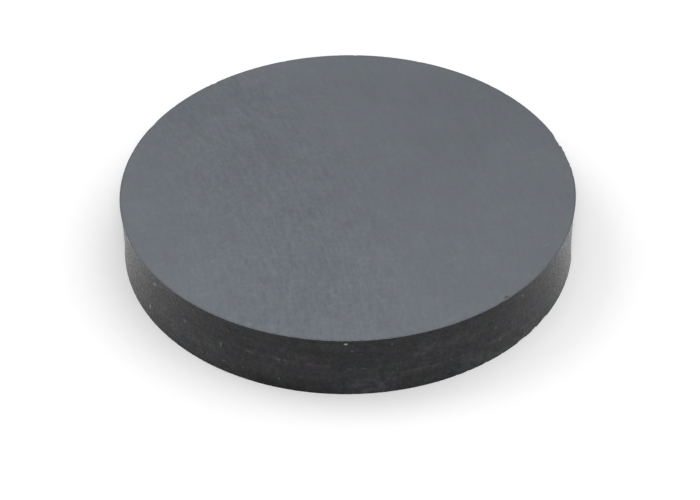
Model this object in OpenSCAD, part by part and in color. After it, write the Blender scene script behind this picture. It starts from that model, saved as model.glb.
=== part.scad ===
// Disc magnet: one solid disc of hard ferrite, lying on one of its pole faces.
// Both pole faces are ground flat. The wall between them is left as it was
// fired, a little hollow at half height, and its rims carry a few small chips.
// The origin is at the centre of the lower pole face, with +Z up.

/* [Disc] */
// Diameter over the rims
disc_d = 100; // [60:1:200]
// Thickness from pole face to pole face
disc_h = 15; // [8:0.5:40]

/* [Wall] */
// How far the wall draws in at half height, on the radius
waist_in = 0.28; // [0.05:0.01:0.6]
// Bevel that handling leaves on the sharp edge of a ground face
edge_break = 0.1; // [0.05:0.05:0.4]

/* [Chips] */
// Size of the rim chips against the sizes listed for them
chip_scale = 1; // [0.5:0.1:2]

/* [Hidden] */

rim_r = disc_d / 2;

// Straight height of the fired wall, and the arc that hollows it
wall_h = disc_h - 2 * edge_break;
wall_arc_r = pow(wall_h / 2, 2) / (2 * waist_in) + waist_in / 2;

// Facets of the turned disc, of the wall's arc and of a chip's hollow
disc_facets = 360;
arc_facets = 1440;
chip_facets = 180;

// Rim chips, each [degrees round the rim from +X, half its length along the rim,
// about how far past the bevel it reaches along the wall and across the pole face]
upper_chips = [
    [4, 1.3, 0.26, 0.07],
    [7.6, 0.9, 0.4, 0.11],
    [11, 4.4, 0.42, 0.14],
    [14.4, 1.4, 0.32, 0.12],
    [16.4, 1.2, 1.25, 0.42],
    [18.3, 2.5, 0.64, 0.19],
    [128.2, 0.9, 0.24, 0.14],
    [152.4, 2.6, 0.17, 0.07],
    [269.5, 0.5, 0.04, 0.04],
    [309, 0.9, 0.05, 0.05]
];
lower_chips = [
    [299.5, 0.8, 0.17, 0.1],
    [304.8, 1, 0.1, 0.06],
    [317.1, 1.6, 0.36, 0.27],
    [322, 1.1, 0.37, 0.27],
    [326.2, 2.4, 0.33, 0.24],
    [356, 6.2, 2.9, 0.1]
];

// Half of the disc's section: a rectangle with bevelled corners, less the hollow of its wall
module half_section() {
    difference() {
        polygon([
            [0, 0],
            [rim_r - edge_break, 0],
            [rim_r, edge_break],
            [rim_r, disc_h - edge_break],
            [rim_r - edge_break, disc_h],
            [0, disc_h]
        ]);
        translate([rim_r - waist_in + wall_arc_r, disc_h / 2])
            circle(r = wall_arc_r, $fn = arc_facets);
    }
}

// The round hollow of one chip in the upper rim, which leans across the corner
module chip_hollow(turn, half, down, across) {
    reach_down = edge_break + chip_scale * down;
    reach_across = edge_break + chip_scale * across;
    bite = reach_down * reach_across / sqrt(pow(reach_down, 2) + pow(reach_across, 2));
    hollow_r = (pow(chip_scale * half, 2) + pow(bite, 2)) / (2 * bite);
    rotate([0, 0, turn])
        translate([rim_r, 0, disc_h])
            rotate([0, atan2(reach_down, reach_across), 0])
                translate([0, 0, hollow_r - bite])
                    sphere(r = hollow_r, $fn = chip_facets);
}

module upper_rim_chips() {
    for (chip = upper_chips)
        chip_hollow(chip[0], chip[1], chip[2], chip[3]);
}

module lower_rim_chips() {
    translate([0, 0, disc_h])
        mirror([0, 0, 1])
            for (chip = lower_chips)
                chip_hollow(chip[0], chip[1], chip[2], chip[3]);
}

module magnet_disc() {
    color([0.3, 0.31, 0.32])
        difference() {
            rotate_extrude($fn = disc_facets)
                half_section();
            upper_rim_chips();
            lower_rim_chips();
        }
}

magnet_disc();
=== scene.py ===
import math
import random

import bmesh
import bpy
from mathutils import Matrix, Vector, noise


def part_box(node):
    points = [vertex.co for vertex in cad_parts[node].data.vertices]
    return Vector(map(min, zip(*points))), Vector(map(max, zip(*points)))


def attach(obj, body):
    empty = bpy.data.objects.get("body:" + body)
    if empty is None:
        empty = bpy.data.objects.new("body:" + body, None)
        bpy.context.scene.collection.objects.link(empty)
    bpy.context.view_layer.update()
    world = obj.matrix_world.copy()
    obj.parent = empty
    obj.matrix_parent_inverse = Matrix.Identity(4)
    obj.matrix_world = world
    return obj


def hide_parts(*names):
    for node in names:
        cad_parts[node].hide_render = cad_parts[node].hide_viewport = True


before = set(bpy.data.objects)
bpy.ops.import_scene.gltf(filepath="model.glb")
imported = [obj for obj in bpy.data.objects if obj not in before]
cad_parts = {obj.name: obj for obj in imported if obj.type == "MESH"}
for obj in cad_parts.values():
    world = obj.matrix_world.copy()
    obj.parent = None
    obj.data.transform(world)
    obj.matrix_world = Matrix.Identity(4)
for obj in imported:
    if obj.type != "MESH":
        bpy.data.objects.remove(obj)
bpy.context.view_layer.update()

# A disc magnet of hard ferrite that lies on white paper, and the camera that looks at it:
# where it looks, from how far, and how it is held
view = {
    "aim": (0.00037, -0.0217, 0.01502),
    "distance": 0.4414,
    "elevation": 40.36,     # degrees above the floor
    "roll": -0.64,          # degrees
    "lens": 107.17,         # mm
    "sensor": 36,           # mm
}


def addCamera():
    camera = bpy.data.objects.new("camera", bpy.data.cameras.new("camera"))
    camera.data.lens = view["lens"]
    camera.data.sensor_width = view["sensor"]
    tilt = Matrix.Rotation(math.radians(90 - view["elevation"]), 4, "X")
    roll = Matrix.Rotation(math.radians(view["roll"]), 4, "Z")
    back = Matrix.Translation((0, 0, view["distance"]))
    camera.matrix_world = Matrix.Translation(view["aim"]) @ tilt @ roll @ back
    bpy.context.scene.collection.objects.link(camera)
    bpy.context.scene.camera = camera


addCamera()
print("camera placed")


def addObject(name, bm):
    mesh = bpy.data.meshes.new(name)
    bm.to_mesh(mesh)
    bm.free()
    obj = bpy.data.objects.new(name, mesh)
    bpy.context.scene.collection.objects.link(obj)
    return obj


lowest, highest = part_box("magnet_disc")
rimRadius = (highest.x - lowest.x) / 2
discHeight = highest.z - lowest.z
weld = 1e-7     # points closer than this are one point

disc = {
    "waist": 0.00028,       # how far the wall draws in at half height
    "edge": 0.00005,        # bevel round each pole face
    "steps": 720,           # facets round the rim
    "wallRows": 22,         # bands from rim to rim
    "innerRing": 0.046,     # inside this radius a pole face is cut into squares
    "cell": 0.004,          # side of those squares
    "wave": 0.00003,        # unevenness of the fired wall
    "waveSize": 0.009,
    "waveAtRim": 0.35,      # how much of it is left at the rims
    "waveGrowth": 3,        # how fast it grows from there: 3 is whole a third of the way up
    "ripple": (2.7, 0.5),   # a second wave: how many times finer, and how strong
    # the wall's foot falls short here: degrees round, degrees to each side, how far up, how far in
    "tuck": (-4, 5, 0.0085, 0.00020),
    "flat": 0.5,            # a face that points up or down more than this is on a pole face
    "sharp": 25,            # degrees, past which an edge is left sharp
}


def wallRadius(z):
    # the wall follows one arc from rim to rim
    up = z - discHeight / 2
    half = discHeight / 2 - disc["edge"]
    arc = half * half / (2 * disc["waist"]) + disc["waist"] / 2
    return rimRadius - disc["waist"] + arc - math.sqrt(arc * arc - up * up)


def squareUp(bm):
    # a round cap is cut into squares, so that its face doesn't have hundreds of corners
    parts = bm.faces[:] + bm.edges[:] + bm.verts[:]
    count = int(disc["innerRing"] / disc["cell"]) + 1
    for axis in (Vector((1, 0, 0)), Vector((0, 1, 0))):
        for step in range(-count, count + 1):
            place = axis * step * disc["cell"]
            parts = bmesh.ops.bisect_plane(bm, geom=parts, dist=weld, plane_co=place, plane_no=axis)["geom"]


def turnDisc():
    # the upper half grows outwards and down from its face, ring by ring, and is then mirrored
    bm = bmesh.new()
    bmesh.ops.create_circle(bm, cap_ends=True, radius=disc["innerRing"], segments=disc["steps"])
    squareUp(bm)
    half = discHeight / 2
    bmesh.ops.translate(bm, vec=(0, 0, half), verts=bm.verts)
    rows = disc["wallRows"] // 2
    outline = [(rimRadius - disc["edge"], half)]
    for row in range(rows + 1):
        z = (half - disc["edge"]) * (1 - row / rows)
        outline.append((wallRadius(half + z), z))
    ring = [edge for edge in bm.edges if edge.is_boundary]
    wide, deep = disc["innerRing"], half
    for radius, z in outline:
        made = bmesh.ops.extrude_edge_only(bm, edges=ring)["geom"]
        verts = [part for part in made if isinstance(part, bmesh.types.BMVert)]
        bmesh.ops.scale(bm, vec=(radius / wide, radius / wide, 1), verts=verts)
        bmesh.ops.translate(bm, vec=(0, 0, z - deep), verts=verts)
        ring = [part for part in made if isinstance(part, bmesh.types.BMEdge) and part.is_boundary]
        wide, deep = radius, z
    bmesh.ops.mirror(bm, geom=bm.faces[:] + bm.edges[:] + bm.verts[:], axis="Z", merge_dist=weld * 10)
    bmesh.ops.translate(bm, vec=(0, 0, half), verts=bm.verts)
    bmesh.ops.recalc_face_normals(bm, faces=bm.faces)
    return bm


def roughenWall(bm):
    # the fired wall is not quite true: it swells and sinks by a few hundredths of a millimetre
    turn, side, top, short = disc["tuck"]
    finer, share = disc["ripple"]
    atRim = disc["waveAtRim"]
    for vert in bm.verts:
        out = Vector((vert.co.x, vert.co.y, 0))
        if out.length < rimRadius - disc["waist"] - disc["edge"]:
            continue    # a pole face
        fromRim = 1 - abs(vert.co.z / discHeight - 0.5) * 2     # 1 at half height
        amount = disc["wave"] * (atRim + (1 - atRim) * min(1, fromRim * disc["waveGrowth"]))
        spot = vert.co / disc["waveSize"]
        swell = noise.noise(spot) + share * noise.noise(spot * finer)
        apart = (math.degrees(math.atan2(out.y, out.x)) - turn) / side
        tuck = short * max(0, 1 - apart * apart) * max(0, 1 - vert.co.z / top)
        vert.co -= out.normalized() * (amount * (1 + swell) + tuck)


baseShape = turnDisc()
roughenWall(baseShape)
discObject = addObject("ferriteDisc", baseShape)
print("disc turned:", len(discObject.data.polygons), "faces")

groundFinish, wallFinish, brokenFinish = range(3)   # the order of the disc's materials

wear = {
    # chips in the rims: degrees round, degrees to each side, reach down the wall and in across the face
    "upperChips": [
        (4.0, 1.5, 0.00036, 0.00017), (7.6, 1.0, 0.00050, 0.00021), (11.0, 5.0, 0.00052, 0.00024),
        (12.0, 1.2, 0.00058, 0.00027), (14.4, 1.6, 0.00042, 0.00022), (16.6, 0.9, 0.00135, 0.00052),
        (18.3, 2.9, 0.00074, 0.00029), (128.2, 1.0, 0.00034, 0.00024), (130.3, 0.8, 0.00018, 0.00013),
        (152.4, 3.0, 0.00027, 0.00017), (269.5, 0.6, 0.00012, 0.00012), (309.0, 1.0, 0.00015, 0.00015),
        (311.4, 0.4, 0.00040, 0.00014),
    ],
    "lowerChips": [
        (296.5, 0.6, 0.00018, 0.00015), (299.5, 0.9, 0.00027, 0.00020), (304.8, 1.2, 0.00020, 0.00016),
        (310.0, 0.7, 0.00018, 0.00014), (317.1, 1.8, 0.00046, 0.00037), (322.0, 1.3, 0.00047, 0.00037),
        (322.6, 0.4, 0.00060, 0.00026), (324.4, 0.4, 0.00055, 0.00026), (326.2, 2.8, 0.00043, 0.00034),
    ],
    "chipSection": 0.0020,  # radius of a chip's round section
    "chipUneven": 0.35,     # how uneven its skin is, against its depth
    "nicks": 90,            # small nicks round each rim
    "nickSpread": (0.05, 0.95),             # where one may be in its share of the rim
    "nickLength": (0.00015, 0.0007),        # half of it
    "nickReach": (0.00010, 0.00022),        # in across the face
    "nickDown": (0.8, 1.4),                 # reach down the wall, against that
    "nickSection": 0.0005,
    "smallNicks": 2.5,      # the higher, the more of them are small
    "rimNick": (-48.9, 0.00062, 0.0012, 0.0005),    # degrees, how far inside the rim, length, width
    "rimNickDepth": 1 / 3,  # against the width
    # pits in the upper face: x and y against the rim radius, length, width, degrees turned
    "pits": [
        (-0.33, 0.27, 0.0005, 0.0004, 20), (-0.82, 0.23, 0.0006, 0.0004, 110),
        (-0.41, -0.40, 0.0006, 0.0005, 60), (0.51, -0.37, 0.0005, 0.0004, 0),
        (0.20, -0.46, 0.0005, 0.0004, 45), (0.20, 0.61, 0.0006, 0.0004, 80),
    ],
    "pitDepth": 0.16,       # against a pit's width
    "morePits": 14,         # small ones, on each pole face
    "pitWidth": (0.0002, 0.0004),
    "pitLength": (1.0, 1.8),                # against the width
    "pitReach": 0.96,       # none further out than this, against the rim radius
    "wallPits": 60,
    "wallPitRise": (0.08, 0.92),            # lowest and highest, against the disc's height
    "wallPitWidth": (0.0002, 0.0006),
    "wallPitTall": (0.35, 0.8),             # half height, against the width
    "wallPitBall": (0.35, 0.15),            # radius of its ball and how far out that lies, the same way
    "uneven": 0.12,         # how uneven the skin of a pit is
    "lumps": ((2.3, 1.0), (6.0, 0.5)),      # what makes it uneven: how fine, and how strong
    "chipCuts": 4,          # subdivisions of the balls that chips are cut with
    "pitCuts": 3,
    "smallCuts": 2,
    "seed": 7,
}


def roundDisc(degrees, radius, z):
    # a place this far out from the disc's axis, its X pointing outwards
    return Matrix.Rotation(math.radians(degrees), 4, "Z") @ Matrix.Translation((radius, 0, z))


def between(limits, share):
    return limits[0] + share * (limits[1] - limits[0])


def addLump(bm, place, size, cuts, finish=brokenFinish, uneven=wear["uneven"]):
    # an uneven ball, size being its radius along each axis, for a chip or a pit to be cut with
    verts = bmesh.ops.create_icosphere(bm, subdivisions=cuts, radius=1)["verts"]
    shift = Vector([random.uniform(-50, 50) for _ in range(3)])     # so that no two are alike
    for vert in verts:
        swell = sum(strong * noise.noise(vert.co * fine + shift) for fine, strong in wear["lumps"])
        vert.co *= 1 + uneven * swell
    bmesh.ops.transform(bm, matrix=place @ Matrix.Diagonal((*size, 1)), verts=verts)
    for vert in verts:
        for face in vert.link_faces:
            face.material_index = finish


def addChip(bm, turn, upper, down, across, half, section, cuts):
    # the lump leans across the rim's corner, and its middle is outside it
    bite = down * across / math.hypot(down, across)
    length = half / math.sqrt(1 - (1 - bite / section) ** 2)
    lean = math.atan2(across, down)
    corner = roundDisc(turn, rimRadius, discHeight if upper else 0)
    slope = Matrix.Rotation(-lean if upper else lean, 4, "Y")
    place = corner @ slope @ Matrix.Translation((section - bite, 0, 0))
    addLump(bm, place, (section, length, section), cuts, uneven=wear["chipUneven"] * bite / section)


def addPit(bm, place, length, width, turn):
    turned = Matrix.Translation(place) @ Matrix.Rotation(math.radians(turn), 4, "Z")
    size = (length / 2, width / 2, wear["pitDepth"] * width)
    addLump(bm, turned, size, wear["pitCuts"], finish=groundFinish)


def addRimWear(bm):
    for upper, chips in ((True, wear["upperChips"]), (False, wear["lowerChips"])):
        for turn, side, down, across in chips:
            half = math.radians(side) * rimRadius
            addChip(bm, turn, upper, down, across, half, wear["chipSection"], wear["chipCuts"])
        for step in range(wear["nicks"]):
            turn = (step + random.uniform(*wear["nickSpread"])) * 360 / wear["nicks"]
            large = random.random() ** wear["smallNicks"]
            half = between(wear["nickLength"], large)
            across = between(wear["nickReach"], large * random.random())
            down = across * random.uniform(*wear["nickDown"])
            addChip(bm, turn, upper, down, across, half, wear["nickSection"], wear["smallCuts"])


def addFaceWear(bm):
    for x, y, length, width, turn in wear["pits"]:
        addPit(bm, (x * rimRadius, y * rimRadius, discHeight), length, width, turn)
    turn, inside, length, width = wear["rimNick"]
    size = (width / 2, length / 2, wear["rimNickDepth"] * width)
    addLump(bm, roundDisc(turn, rimRadius - inside, discHeight), size, wear["pitCuts"])
    for z in (0, discHeight):
        for _ in range(wear["morePits"]):
            turn = random.uniform(0, math.tau)
            out = rimRadius * wear["pitReach"] * math.sqrt(random.random())
            width = random.uniform(*wear["pitWidth"])
            length = width * random.uniform(*wear["pitLength"])
            place = (out * math.cos(turn), out * math.sin(turn), z)
            addPit(bm, place, length, width, random.uniform(0, 180))


def addWallWear(bm):
    deep, out = wear["wallPitBall"]
    for _ in range(wear["wallPits"]):
        turn = random.uniform(0, 360)
        z = random.uniform(*wear["wallPitRise"]) * discHeight
        width = random.uniform(*wear["wallPitWidth"])
        size = (width * deep, width / 2, width * random.uniform(*wear["wallPitTall"]))
        addLump(bm, roundDisc(turn, wallRadius(z) + width * out, z), size, wear["smallCuts"])


def makeWearCutter():
    random.seed(wear["seed"])
    bm = bmesh.new()
    addRimWear(bm)
    addFaceWear(bm)
    addWallWear(bm)
    return addObject("wearCutter", bm)


wearCutter = makeWearCutter()
print("wear cutter made" if wearCutter else "no wear in a quick look")


def connect(tree, socket, value):
    if isinstance(value, bpy.types.NodeSocket):
        tree.links.new(value, socket)
    else:
        socket.default_value = value


def addNode(tree, kind, inputs=None, **settings):
    node = tree.nodes.new(kind)
    for name, value in settings.items():
        setattr(node, name, value)
    for name, value in (inputs or {}).items():
        connect(tree, node.inputs[name], value)
    return node


def calc(tree, operation, value, *others, clamp=False):
    # one Math node, or a chain of them for more than two values
    for other in others or (0.0,):
        inputs = {0: value, 1: other}
        value = addNode(tree, "ShaderNodeMath", inputs, operation=operation, use_clamp=clamp).outputs[0]
    return value


def vectorCalc(tree, operation, a, b=(0, 0, 0)):
    node = addNode(tree, "ShaderNodeVectorMath", {0: a, 1: b}, operation=operation)
    return node.outputs["Value" if operation in ("LENGTH", "DOT_PRODUCT") else "Vector"]


def spread(tree, value, low, high, toLow=0.0, toHigh=1.0):
    # value from low..high becomes toLow..toHigh, with soft ends
    inputs = {"Value": value, "From Min": low, "From Max": high, "To Min": toLow, "To Max": toHigh}
    return addNode(tree, "ShaderNodeMapRange", inputs, interpolation_type="SMOOTHSTEP").outputs[0]


def swing(tree, value, amount):
    # value from 0..1 becomes half the amount to each side of 0
    return calc(tree, "MULTIPLY", calc(tree, "SUBTRACT", value, 0.5), amount)


def separate(tree, vector):
    return addNode(tree, "ShaderNodeSeparateXYZ", {0: vector}).outputs


def reachOf(tree, parts):
    # how far a place is from the upright axis
    flat = addNode(tree, "ShaderNodeCombineXYZ", {"X": parts["X"], "Y": parts["Y"]}).outputs[0]
    return vectorCalc(tree, "LENGTH", flat)


def angleOf(tree, parts):
    return calc(tree, "ARCTAN2", parts["Y"], parts["X"])


def noiseOf(tree, vector, scale, detail, output="Fac", **more):
    inputs = {"Vector": vector, "Scale": scale, "Detail": detail, **more}
    return addNode(tree, "ShaderNodeTexNoise", inputs).outputs[output]


def mixColour(tree, factor, a, b, blend="MIX"):
    node = addNode(tree, "ShaderNodeMix", data_type="RGBA", blend_type=blend)
    for index, value in ((0, factor), (6, a), (7, b)):      # the sockets that a colour mix uses
        connect(tree, node.inputs[index], value)
    return node.outputs[2]


def grey(level, tint=(1.0, 1.0, 1.0)):
    return (level * tint[0], level * tint[1], level * tint[2], 1.0)


def newGroup(name, inputs, outputs):
    # a node group that takes a place and some values, and gives values that change over the surface
    tree = bpy.data.node_groups.new(name, "ShaderNodeTree")
    tree.interface.new_socket(name="Vector", in_out="INPUT", socket_type="NodeSocketVector")
    for label, value in inputs.items():
        socket = tree.interface.new_socket(name=label, in_out="INPUT", socket_type="NodeSocketFloat")
        socket.default_value = value
    for label in outputs:
        tree.interface.new_socket(name=label, in_out="OUTPUT", socket_type="NodeSocketFloat")
    return tree, addNode(tree, "NodeGroupInput").outputs, addNode(tree, "NodeGroupOutput").inputs


def buildPatches():
    # soft patches of tone, as a value that goes Amount to each side of 1
    tree, given, made = newGroup("tonePatches", {"Size": 0.01, "Amount": 0.1}, ["Tone"])
    scale = calc(tree, "DIVIDE", 1.0, given["Size"])
    patches = noiseOf(tree, given["Vector"], scale, 4.0, Roughness=0.55, Distortion=0.4)
    tone = calc(tree, "MULTIPLY", swing(tree, patches, given["Amount"]), 2.0)
    tree.links.new(calc(tree, "ADD", tone, 1.0), made["Tone"])
    return tree


def buildGrain(lumpFineness=0.8, lumpShare=0.3, cut=(0.3, 0.7)):
    # the fine grain of a fired surface: light and dark grains, and their height, which has lumps in it
    tree, given, made = newGroup("firedGrain", {"Size": 0.0004}, ["Grain", "Height"])
    scale = calc(tree, "DIVIDE", 1.0, given["Size"])
    fine = noiseOf(tree, given["Vector"], scale, 5.0, Roughness=0.62)
    inputs = {"Vector": given["Vector"], "Scale": calc(tree, "MULTIPLY", scale, lumpFineness)}
    lumps = addNode(tree, "ShaderNodeTexVoronoi", inputs).outputs["Distance"]
    height = calc(tree, "MULTIPLY", fine, 1 - lumpShare)
    height = calc(tree, "ADD", height, calc(tree, "MULTIPLY", lumps, lumpShare))
    tree.links.new(spread(tree, fine, *cut), made["Grain"])
    tree.links.new(height, made["Height"])
    return tree


def buildSpecks(smallest=0.4):
    # sparse round specks, 1 on a speck and 0 elsewhere; Share of the cells have one, of Radius or so
    tree, given, made = newGroup("specks", {"Spacing": 0.002, "Radius": 0.1, "Share": 0.3}, ["Mask"])
    scale = calc(tree, "DIVIDE", 1.0, given["Spacing"])
    cells = addNode(tree, "ShaderNodeTexVoronoi", {"Vector": given["Vector"], "Scale": scale}).outputs
    lot = addNode(tree, "ShaderNodeSeparateColor", {"Color": cells["Color"]}).outputs
    chosen = calc(tree, "LESS_THAN", lot[0], given["Share"])
    radius = calc(tree, "MULTIPLY", given["Radius"], calc(tree, "ADD", smallest, lot[1]))
    inside = calc(tree, "SUBTRACT", 1.0, calc(tree, "DIVIDE", cells["Distance"], radius), clamp=True)
    tree.links.new(calc(tree, "MULTIPLY", chosen, spread(tree, inside, 0.0, 0.5)), made["Mask"])
    return tree


tonePatches = buildPatches()
firedGrain = buildGrain()
specks = buildSpecks()


def patchesOf(tree, place, size, amount):
    inputs = {"Vector": place, "Size": size, "Amount": amount}
    return addNode(tree, "ShaderNodeGroup", inputs, node_tree=tonePatches).outputs["Tone"]


def grainOf(tree, place, size):
    return addNode(tree, "ShaderNodeGroup", {"Vector": place, "Size": size}, node_tree=firedGrain).outputs


def specksOf(tree, place, spacing, radius, share):
    inputs = {"Vector": place, "Spacing": spacing, "Radius": radius, "Share": share}
    return addNode(tree, "ShaderNodeGroup", inputs, node_tree=specks).outputs["Mask"]


def newMaterial(name):
    material = bpy.data.materials.new(name)
    material.use_nodes = True
    material.node_tree.nodes.clear()
    place = addNode(material.node_tree, "ShaderNodeTexCoord").outputs["Object"]
    return material, material.node_tree, place


def finishMaterial(tree, bumpStrength, bumpDepth, height, inputs):
    # every finish of the disc ends in a bump and one shader
    bump = {"Strength": bumpStrength, "Distance": bumpDepth, "Height": height}
    normal = addNode(tree, "ShaderNodeBump", bump).outputs[0]
    shader = addNode(tree, "ShaderNodeBsdfPrincipled", {**inputs, "Normal": normal})
    addNode(tree, "ShaderNodeOutputMaterial", {"Surface": shader.outputs[0]})


def paint(tree, place, look, tone):
    # the finish's own colour, which wanders a little round its middle, made lighter and darker by tone
    hue = noiseOf(tree, place, look["hueScale"], look["hueDetail"], "Color")
    faint = mixColour(tree, look["hueShift"], grey(0.5), hue)
    full = grey(look["level"] / 0.5, look["tint"])
    colour = mixColour(tree, 1.0, full, faint, "MULTIPLY")
    return mixColour(tree, 1.0, colour, tone, "MULTIPLY")


ground = {
    "level": 0.127,                 # how light the ground face is
    "tint": (0.902, 1.0, 1.125),
    "hueShift": 0.055,              # how far its colour wanders
    "hueScale": 260.0,
    "hueDetail": 2.0,
    "paintedLightDrift": (-0.9, -2.6, 0.0),     # painted light: it grows lighter this way, per metre
    "wheelCentre": (-0.26, -0.0775, 0.0),   # the middle of the grinding wheel's arcs
    "faceShift": 900.0,             # keeps the marks of the two faces apart
    # the marks show most this far from the wheel's middle, and fade from here to here beside it
    "band": (0.2545, 0.004, 0.030),
    "bandFade": 0.45,
    # marks along the arcs: width, length, seed, detail
    "marks": (0.0010, 0.007, 0.0, 2.0),
    "hairs": (0.00045, 0.003, 11.0, 2.0),
    "scratches": (0.0006, 0.006, 23.0, 0.0),
    "scratchCut": (0.74, 0.84),     # how much of the noise comes out as a scratch
    # scratches that cross them: degrees turned, width, length, seed, detail, and the same cut
    "crossing": [
        (62.0, 0.0005, 0.005, 31.0, 0.0, 0.78, 0.86),
        (-24.0, 0.0005, 0.007, 47.0, 0.0, 0.80, 0.88),
    ],
    "markTone": 0.24,       # how much lighter and darker they make it
    "hairTone": 0.46,
    "scratchTone": 0.10,
    "relief": (0.4, 0.6, 0.8),      # height of the marks and the hairs, depth of the scratches
    "reliefDepth": 0.00002,
    "reliefStrength": 0.5,
    # soft patches, large to small: size and amount
    "patches": (0.020, 0.12),
    "mottle": (0.0034, 0.13),
    "grain": (0.0010, 0.25),
    "dots": (0.004, 0.06, 0.25),    # dark dots: spacing, radius, share
    "dotTone": 0.25,
    "arris": (0.00055, 0.00020, 0.84),      # dulled from this far inside the rim to this far, and how much
    "paintedBackRimLight": (0.034, 0.0490, 1.12),       # painted light: lighter from this y to this y, and how much
    "roughness": 0.46,
    "roughSwing": 0.25,             # how far the hairs change it
    "specular": 0.27,
}


def drawMarks(tree, place):
    # the marks, the hairs, the scratches and those that cross them, and how strongly the arcs show
    parts = separate(tree, vectorCalc(tree, "SUBTRACT", place, ground["wheelCentre"]))
    reach = reachOf(tree, parts)
    along = calc(tree, "MULTIPLY", angleOf(tree, parts), Vector(ground["wheelCentre"]).length)
    face = calc(tree, "MULTIPLY", parts["Z"], ground["faceShift"])

    def strokes(x, y, wide, long, seed, detail):
        # noise drawn out into strokes that run along y
        drawn = {
            "X": calc(tree, "DIVIDE", x, wide),
            "Y": calc(tree, "DIVIDE", y, long),
            "Z": calc(tree, "ADD", face, seed),
        }
        drawn = addNode(tree, "ShaderNodeCombineXYZ", drawn).outputs[0]
        return noiseOf(tree, drawn, 1.0, detail, Roughness=0.6)

    marks = strokes(reach, along, *ground["marks"])
    hairs = strokes(reach, along, *ground["hairs"])
    scratches = spread(tree, strokes(reach, along, *ground["scratches"]), *ground["scratchCut"])
    crossing = 0.0
    for degrees, wide, long, seed, detail, *cut in ground["crossing"]:
        inputs = {"Vector": place, "Angle": math.radians(degrees)}
        turned = addNode(tree, "ShaderNodeVectorRotate", inputs, rotation_type="Z_AXIS").outputs[0]
        turned = separate(tree, turned)
        lines = spread(tree, strokes(turned["X"], turned["Y"], wide, long, seed, detail), *cut)
        crossing = calc(tree, "MAXIMUM", crossing, lines)
    middle, begin, end = ground["band"]
    off = calc(tree, "ABSOLUTE", calc(tree, "SUBTRACT", reach, middle))
    return marks, hairs, scratches, crossing, spread(tree, off, begin, end, 1.0, ground["bandFade"])


def toneGroundFace(tree, place, marks, hairs, scratches, crossing, band):
    mottle = patchesOf(tree, place, *ground["mottle"])
    grain = patchesOf(tree, place, *ground["grain"])
    lines = calc(
        tree, "ADD",
        swing(tree, marks, ground["markTone"]),
        swing(tree, hairs, ground["hairTone"]),
        calc(tree, "MULTIPLY", scratches, ground["scratchTone"]),
        calc(tree, "SUBTRACT", calc(tree, "MULTIPLY", mottle, grain), 1.0),
    )
    crossed = calc(tree, "MULTIPLY", crossing, ground["scratchTone"])
    # painted light: the face grows lighter towards the front left
    paintedLightDrift = vectorCalc(tree, "DOT_PRODUCT", place, ground["paintedLightDrift"])
    parts = separate(tree, place)
    begin, end, dulled = ground["arris"]
    arris = spread(tree, reachOf(tree, parts), rimRadius - begin, rimRadius - end, 1.0, dulled)
    # painted light: a strip along the back rim made lighter
    begin, end, lifted = ground["paintedBackRimLight"]
    paintedBackRimLight = spread(tree, parts["Y"], begin, end, 1.0, lifted)
    dots = calc(tree, "MULTIPLY", specksOf(tree, place, *ground["dots"]), ground["dotTone"])
    return calc(
        tree, "MULTIPLY",
        patchesOf(tree, place, *ground["patches"]),
        calc(tree, "ADD", 1.0, calc(tree, "ADD", calc(tree, "MULTIPLY", lines, band), crossed)),
        calc(tree, "ADD", 1.0, paintedLightDrift),
        arris,
        paintedBackRimLight,
        calc(tree, "SUBTRACT", 1.0, dots),
    )


def buildGroundFace():
    material, tree, place = newMaterial("groundFerrite")
    marks, hairs, scratches, crossing, band = drawMarks(tree, place)
    tone = toneGroundFace(tree, place, marks, hairs, scratches, crossing, band)
    markHeight, hairHeight, scratchDepth = ground["relief"]
    height = calc(tree, "MULTIPLY", marks, markHeight)
    height = calc(tree, "ADD", height, calc(tree, "MULTIPLY", hairs, hairHeight))
    cut = calc(tree, "MULTIPLY", calc(tree, "MAXIMUM", scratches, crossing), scratchDepth)
    height = calc(tree, "SUBTRACT", height, cut)
    finishMaterial(tree, ground["reliefStrength"], ground["reliefDepth"], height, {
        "Base Color": paint(tree, place, ground, tone),
        "Roughness": calc(tree, "ADD", ground["roughness"], swing(tree, hairs, ground["roughSwing"])),
        "Specular IOR Level": ground["specular"],
    })
    return material


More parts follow.
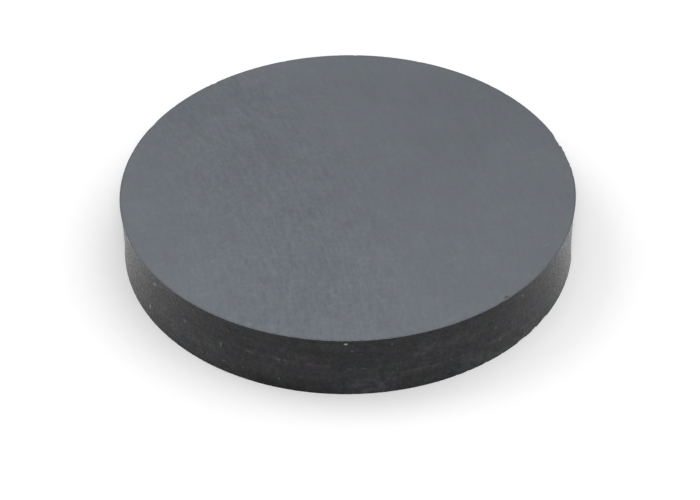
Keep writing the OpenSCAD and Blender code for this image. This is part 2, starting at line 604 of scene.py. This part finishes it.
wall = {
    "level": 0.030,         # how much its dull sheen gives back
    "tint": (1.0, 1.0, 1.06),
    "hueShift": 0.13,       # how far its colour wanders
    "hueScale": 170.0,
    "hueDetail": 1.0,
    "metallic": 0.76,
    "sheenTint": 0.82,      # how much of the sheen is left at a glancing angle
    "roughness": (0.20, 0.40),              # of its dark grains and of its light ones
    "specular": 0.30,
    "rise": (1.15, 0.80),   # painted light and shade: its tone at the foot and at the top
    "paintedSideLightAndShade": (1.20, 0.90),               # painted light and shade again on the right
    "side": (0.4, 0.8),     # the x where that begins and where it is whole, against the rim radius
    "grainSize": 0.0005,
    "grainStrength": 0.6,
    "grainDepth": 0.00014,
    "coarse": (1.6, 0.5),   # how strongly the grain stands out on the left and on the right
    "coarseSide": (-0.8, 0.6),              # the x of that left and right, against the rim radius
    # soft patches, large to small: size and amount
    "patches": (0.008, 0.28),
    "mottle": (0.0020, 0.38),
    "fine": (0.0007, 0.65),
    # streaks that run round the wall
    "streaks": (90.0, 90.0, 900.0),         # how fine along x, y and z
    "streakCut": (0.3, 0.75),
    "streakTone": (0.92, 1.12),
    "streakHeight": 0.4,    # against the grain
    # small pale flecks and hairs all over it
    "flecks": (0.0022, 0.10, 0.20),         # spacing, radius, share
    "hairs": (1500.0, 1500.0, 420.0),       # how fine along x, y and z
    "hairLean": (0.5, 0.3, 0.2),
    "hairCut": (0.76, 0.86),
    "hairShare": 0.4,       # how much a hair shows against a fleck
    "fleckShare": 0.42,
    "fleckLevel": 0.12,
    # where something has rubbed it lighter or darker, and one band of painted shade: middle and half width
    # in degrees, height, half height, how much
    "rubsAndShade": [
        (-111, 6, 0.0079, 0.0008, 0.40), (-99, 8, 0.0076, 0.0004, 0.30), (-62, 18, 0.0047, 0.0005, 0.40),
        (-75, 9, 0.0075, 0.0003, 0.45), (-51, 16, 0.0010, 0.0040, 0.50), (-66, 14, 0.0100, 0.0050, 0.30),
        (-84, 8, 0.0020, 0.0035, 0.45), (-104, 14, 0.0002, 0.0050, -0.45), (-136, 14, 0.0050, 0.0060, 0.25),
        # the band at -27 degrees is painted shade, which darkens the upper wall where its sheen comes out
        # too light
        (-27, 12, 0.0060, 0.0120, -0.25),
    ],
    # the rubbing and the painted shade are broken: how fine, the part of the noise where it fades, how much
    # is left
    "rubAndShadeBreaks": (500.0, 0.40, 0.62, 0.35),
    # pale specks: degrees, height, half width, half height, how pale
    "specks": [
        (-90.8, 0.0140, 0.0005, 0.0003, 0.27), (-107.1, 0.0078, 0.0005, 0.0003, 0.06),
        (-105.4, 0.0079, 0.0004, 0.0003, 0.055), (-122.3, 0.0071, 0.0003, 0.0009, 0.07),
        (-114.7, 0.0080, 0.0008, 0.0002, 0.045), (-144.9, 0.0120, 0.0006, 0.0006, 0.165),
        (-148.6, 0.0034, 0.0005, 0.0008, 0.16), (-133.5, 0.0083, 0.0005, 0.0006, 0.07),
        (-121.7, 0.0028, 0.0004, 0.0003, 0.065), (-50.6, 0.0042, 0.0004, 0.0003, 0.09),
        (-52.1, 0.0083, 0.0004, 0.0003, 0.07), (-80.0, 0.0132, 0.0003, 0.0004, 0.048),
        (-89.4, 0.0120, 0.0003, 0.0003, 0.050), (-90.1, 0.0069, 0.0009, 0.0002, 0.040),
        (-86.6, 0.0070, 0.0008, 0.0002, 0.042), (-43.5, 0.0128, 0.0004, 0.0003, 0.10),
    ],
    "speckEdge": 0.5,       # a speck fades from here to its edge
}


def drawRubsAndShade(tree, place):
    # soft broken bands of rubbing, and one of painted shade: how much lighter or darker the wall is there
    parts = separate(tree, place)
    angle = angleOf(tree, parts)
    total = 0.0
    for middle, wide, height, tall, amount in wall["rubsAndShade"]:
        turn = calc(tree, "ABSOLUTE", calc(tree, "SUBTRACT", angle, math.radians(middle)))
        off = calc(tree, "ABSOLUTE", calc(tree, "SUBTRACT", parts["Z"], height))
        wide = math.radians(wide)
        along = spread(tree, turn, wide / 2, wide, 1.0, 0.0)
        rubAndShadeBand = calc(tree, "MULTIPLY", along, spread(tree, off, 0.0, tall, amount, 0.0))
        total = calc(tree, "ADD", total, rubAndShadeBand)
    scale, begin, end, left = wall["rubAndShadeBreaks"]
    breaks = noiseOf(tree, place, scale, 2.0)
    return calc(tree, "MULTIPLY", total, spread(tree, breaks, begin, end, left, 1.0))


def toneWall(tree, place, streaks):
    parts = separate(tree, place)
    # painted light and shade: the wall lighter at the foot and darker at the top, more so on the right
    toRight = spread(tree, parts["X"], *(share * rimRadius for share in wall["side"]))
    paintedSideLightAndShade = calc(tree, "SUBTRACT", spread(tree, parts["Z"], 0.0, discHeight, *wall["paintedSideLightAndShade"]), 1.0)
    return calc(
        tree, "MULTIPLY",
        patchesOf(tree, place, *wall["patches"]),
        patchesOf(tree, place, *wall["mottle"]),
        patchesOf(tree, place, *wall["fine"]),
        spread(tree, streaks, *wall["streakCut"], *wall["streakTone"]),
        spread(tree, parts["Z"], 0.0, discHeight, *wall["rise"]),
        calc(tree, "ADD", 1.0, calc(tree, "MULTIPLY", paintedSideLightAndShade, toRight)),
        calc(tree, "ADD", 1.0, drawRubsAndShade(tree, place)),
    )


def drawFlecks(tree, place):
    inputs = {"Vector": place, "Rotation": wall["hairLean"], "Scale": wall["hairs"]}
    stretched = addNode(tree, "ShaderNodeMapping", inputs).outputs[0]
    hairs = spread(tree, noiseOf(tree, stretched, 1.0, 0.0), *wall["hairCut"])
    flecks = specksOf(tree, place, *wall["flecks"])
    return calc(tree, "MAXIMUM", flecks, calc(tree, "MULTIPLY", hairs, wall["hairShare"]))


def addSpecks(tree, place, colour, metallic):
    # each speck is a pale oval of dust or bare ceramic, without the sheen
    for turn, height, wide, tall, level in wall["specks"]:
        middle = roundDisc(turn, wallRadius(height), height).translation
        apart = vectorCalc(tree, "SUBTRACT", place, middle)
        apart = vectorCalc(tree, "MULTIPLY", apart, (1 / wide, 1 / wide, 1 / tall))
        pale = spread(tree, vectorCalc(tree, "LENGTH", apart), wall["speckEdge"], 1.0, 1.0, 0.0)
        colour = mixColour(tree, pale, colour, grey(level))
        metallic = calc(tree, "MULTIPLY", calc(tree, "SUBTRACT", 1.0, pale), metallic)
    return colour, metallic


def buildFiredWall():
    material, tree, place = newMaterial("firedFerrite")
    grain = grainOf(tree, place, wall["grainSize"])
    stretched = addNode(tree, "ShaderNodeMapping", {"Vector": place, "Scale": wall["streaks"]}).outputs[0]
    streaks = noiseOf(tree, stretched, 1.0, 2.0)
    colour = paint(tree, place, wall, toneWall(tree, place, streaks))
    flecks = calc(tree, "MULTIPLY", drawFlecks(tree, place), wall["fleckShare"])
    colour = mixColour(tree, flecks, colour, grey(wall["fleckLevel"]))
    colour, metallic = addSpecks(tree, place, colour, wall["metallic"])
    left, right = (share * rimRadius for share in wall["coarseSide"])
    coarse = spread(tree, separate(tree, place)["X"], left, right, *wall["coarse"])
    height = calc(tree, "ADD", grain["Height"], calc(tree, "MULTIPLY", streaks, wall["streakHeight"]))
    height = calc(tree, "MULTIPLY", height, coarse)
    finishMaterial(tree, wall["grainStrength"], wall["grainDepth"], height, {
        "Base Color": colour,
        "Metallic": metallic,
        "Roughness": spread(tree, grain["Grain"], 0.0, 1.0, *wall["roughness"]),
        "Specular IOR Level": wall["specular"],
        "Specular Tint": grey(wall["sheenTint"]),
    })
    return material


broken = {
    "levels": (0.025, 0.07),                # how light its dark grains and its light ones are
    "grainSize": 0.00025,
    "grainStrength": 0.6,
    "grainDepth": 0.00004,
    "roughness": 0.55,
}


def buildBrokenSkin():
    material, tree, place = newMaterial("brokenFerrite")
    grain = grainOf(tree, place, broken["grainSize"])
    dark, light = broken["levels"]
    finishMaterial(tree, broken["grainStrength"], broken["grainDepth"], grain["Height"], {
        "Base Color": mixColour(tree, grain["Grain"], grey(dark), grey(light)),
        "Roughness": broken["roughness"],
    })
    return material


finishes = (buildGroundFace(), buildFiredWall(), buildBrokenSkin())
print("materials made")


def cutWear():
    cut = discObject.modifiers.new("wear", "BOOLEAN")
    cut.operation = "DIFFERENCE"
    cut.object = wearCutter
    cut.solver = "EXACT"
    cut.use_self = True
    cut.material_mode = "TRANSFER"
    graph = bpy.context.evaluated_depsgraph_get()
    mesh = bpy.data.meshes.new_from_object(discObject.evaluated_get(graph), depsgraph=graph)
    discObject.modifiers.remove(cut)
    discObject.data = mesh
    bpy.data.objects.remove(wearCutter)


def smoothDisc():
    bm = bmesh.new()
    bm.from_mesh(discObject.data)
    bmesh.ops.remove_doubles(bm, verts=bm.verts, dist=weld)
    for face in bm.faces:
        face.smooth = True
    for edge in bm.edges:
        if len(edge.link_faces) != 2:
            continue
        one, other = edge.link_faces
        bent = edge.calc_face_angle(0) >= math.radians(disc["sharp"])
        edge.smooth = not bent and one.material_index == other.material_index
    print("open edges:", sum(1 for edge in bm.edges if len(edge.link_faces) != 2))
    bm.to_mesh(discObject.data)
    bm.free()


def finishDisc():
    for material in finishes:
        discObject.data.materials.append(material)
    for face in discObject.data.polygons:
        face.material_index = groundFinish if abs(face.normal.z) > disc["flat"] else wallFinish
    if wearCutter:
        for material in finishes:
            wearCutter.data.materials.append(material)
        cutWear()
    smoothDisc()
    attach(discObject, "root")
    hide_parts("magnet_disc")


finishDisc()
print("wear cut:", sum(len(face.vertices) - 2 for face in discObject.data.polygons), "triangles")

room = {
    "floorSize": 4.0,
    "floorColour": 0.9,
    "floorLift": 0.17,      # added where the camera sees it, so that the paper comes out white
    "fade": (0.16, 0.40),   # from here to here, in metres, the camera sees the floor run out to white
    "world": 0.475,
    # softboxes: degrees round from +x, degrees up, distance, width, watts
    "softboxes": [(270, 43, 1.0, 0.36, 2.76), (158, 48, 1.0, 0.60, 1.63), (13, 68, 1.1, 1.40, 4.2)],
}


def seenDirectly(tree):
    # 1 for what the camera sees, and for what gloss and glass show of it
    path = addNode(tree, "ShaderNodeLightPath").outputs
    return calc(tree, "MAXIMUM", path["Is Camera Ray"], path["Is Glossy Ray"], path["Is Transmission Ray"])


def addFloor():
    bm = bmesh.new()
    bmesh.ops.create_grid(bm, x_segments=1, y_segments=1, size=room["floorSize"] / 2)
    floor = addObject("floor", bm)
    material, tree, place = newMaterial("paperFloor")
    paper = addNode(tree, "ShaderNodeBsdfDiffuse", {"Color": grey(room["floorColour"])}).outputs[0]
    lift = addNode(tree, "ShaderNodeBsdfDiffuse", {"Color": grey(room["floorLift"])}).outputs[0]
    lifted = addNode(tree, "ShaderNodeAddShader", {0: paper, 1: lift}).outputs[0]
    white = addNode(tree, "ShaderNodeEmission", {"Color": grey(1.0), "Strength": 1.0}).outputs[0]
    fade = spread(tree, vectorCalc(tree, "LENGTH", place), *room["fade"])
    shown = addNode(tree, "ShaderNodeMixShader", {0: fade, 1: lifted, 2: white}).outputs[0]
    both = addNode(tree, "ShaderNodeMixShader", {0: seenDirectly(tree), 1: paper, 2: shown}).outputs[0]
    addNode(tree, "ShaderNodeOutputMaterial", {"Surface": both})
    floor.data.materials.append(material)


def addWorld():
    world = bpy.data.worlds.new("studio")
    world.use_nodes = True
    tree = world.node_tree
    tree.nodes.clear()
    inputs = {"Value": seenDirectly(tree), "To Min": room["world"], "To Max": 1.0}
    strength = addNode(tree, "ShaderNodeMapRange", inputs).outputs[0]
    sky = addNode(tree, "ShaderNodeBackground", {"Color": grey(1.0), "Strength": strength}).outputs[0]
    addNode(tree, "ShaderNodeOutputWorld", {"Surface": sky})
    bpy.context.scene.world = world


def addSoftboxes():
    for turn, rise, distance, size, power in room["softboxes"]:
        light = bpy.data.lights.new("softbox", "AREA")
        light.shape = "DISK"
        light.size = size
        light.energy = power
        lamp = bpy.data.objects.new("softbox", light)
        aim = Matrix.Rotation(math.radians(turn), 4, "Z") @ Matrix.Rotation(math.radians(90 - rise), 4, "Y")
        lamp.matrix_world = aim @ Matrix.Translation((0, 0, distance))
        bpy.context.scene.collection.objects.link(lamp)


addFloor()
addWorld()
addSoftboxes()
bpy.context.scene.view_settings.view_transform = "Standard"
print("floor and light placed")
